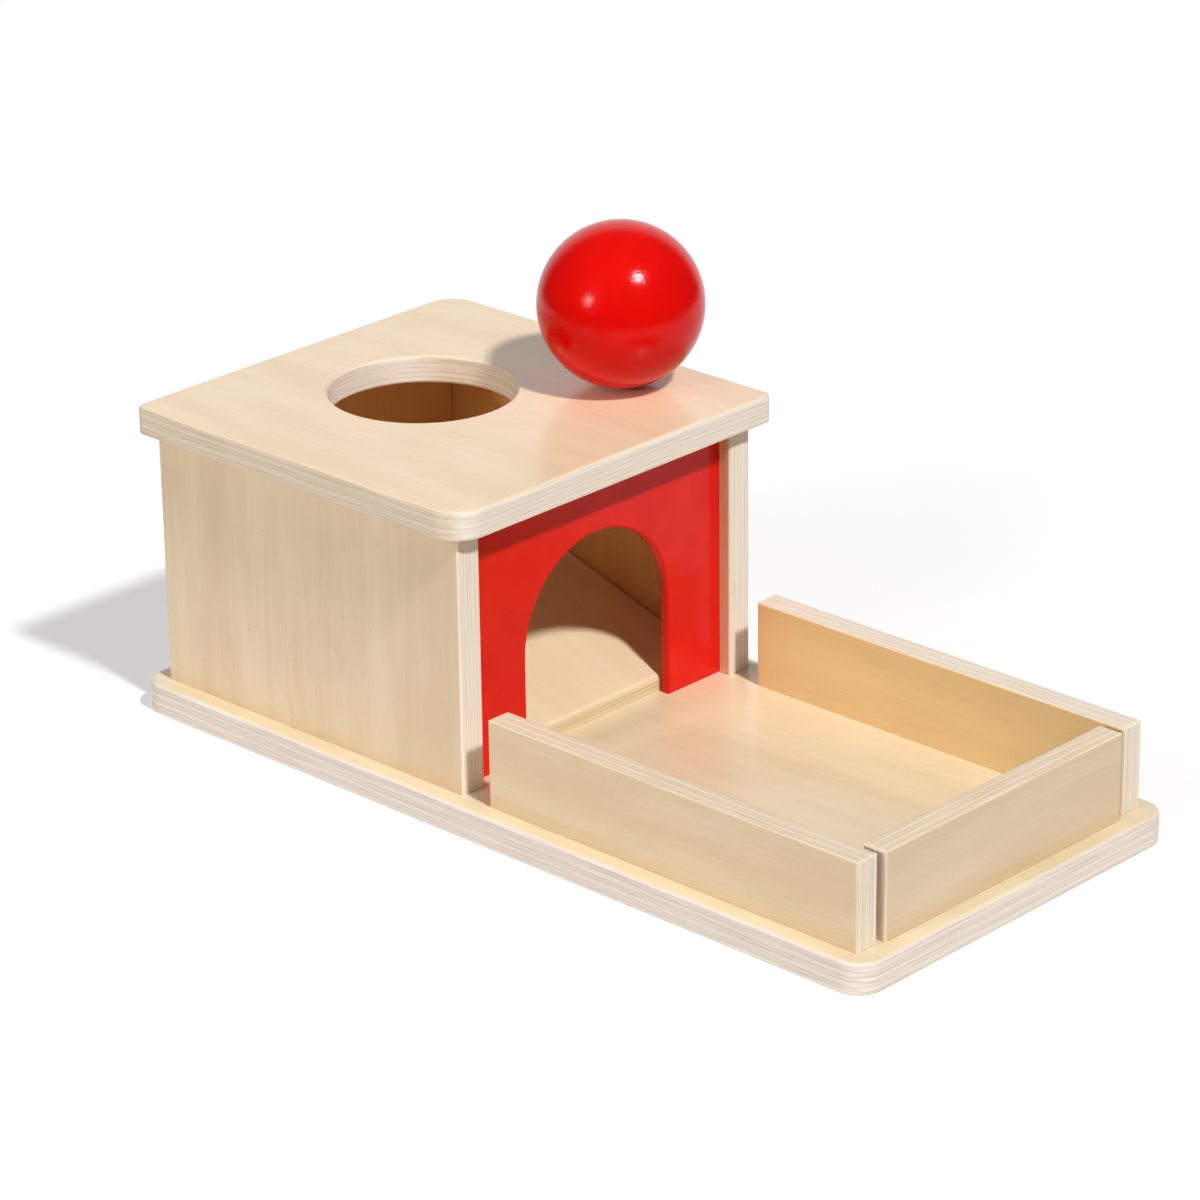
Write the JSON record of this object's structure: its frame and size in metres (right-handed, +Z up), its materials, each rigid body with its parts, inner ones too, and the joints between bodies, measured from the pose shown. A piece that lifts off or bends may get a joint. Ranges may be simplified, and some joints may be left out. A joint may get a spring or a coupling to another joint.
{
  "type": "object permanence box",
  "caption": "Wooden object permanence box: plywood box with a ball hole in its lid, a red arched doorway, a ramp inside and a railed tray in front, with a loose red ball.",
  "frame": {"origin": "middle of the base board's underside", "axes": "+X from the box towards the tray, the way the ball rolls out; +Y towards the far side, where the ball stands on the lid; +Z up"},
  "size_m": [0.286, 0.134, 0.148],
  "materials": {
    "birch_ply": "clear satin lacquer on birch plywood",
    "red_lacquer": "glossy red lacquer on wood",
    "beech": "bare beech",
    "zinc_steel": "zinc plated"
  },
  "bodies": {
    "box": {"base_board": "birch_ply", "near_side_panel": "birch_ply", "far_side_panel": "birch_ply", "back_panel": "birch_ply", "lid": "birch_ply", "arch_panel": "red_lacquer", "ramp_board": "birch_ply", "near_ramp_wedge": "birch_ply", "far_ramp_wedge": "birch_ply", "near_rail": "birch_ply", "far_rail": "birch_ply", "front_rail": "birch_ply", "box_screws": "zinc_steel", "rail_screws": "zinc_steel", "lid_dowels": "beech", "back_dowels": "beech"},
    "ball": {"ball": "red_lacquer"}
  },
  "joints": [
    {"name": "ball_lift", "type": "slide", "parent": "box", "child": "ball", "axis": [0, 0, 1], "range_m": [0, 0.12]}
  ]
}
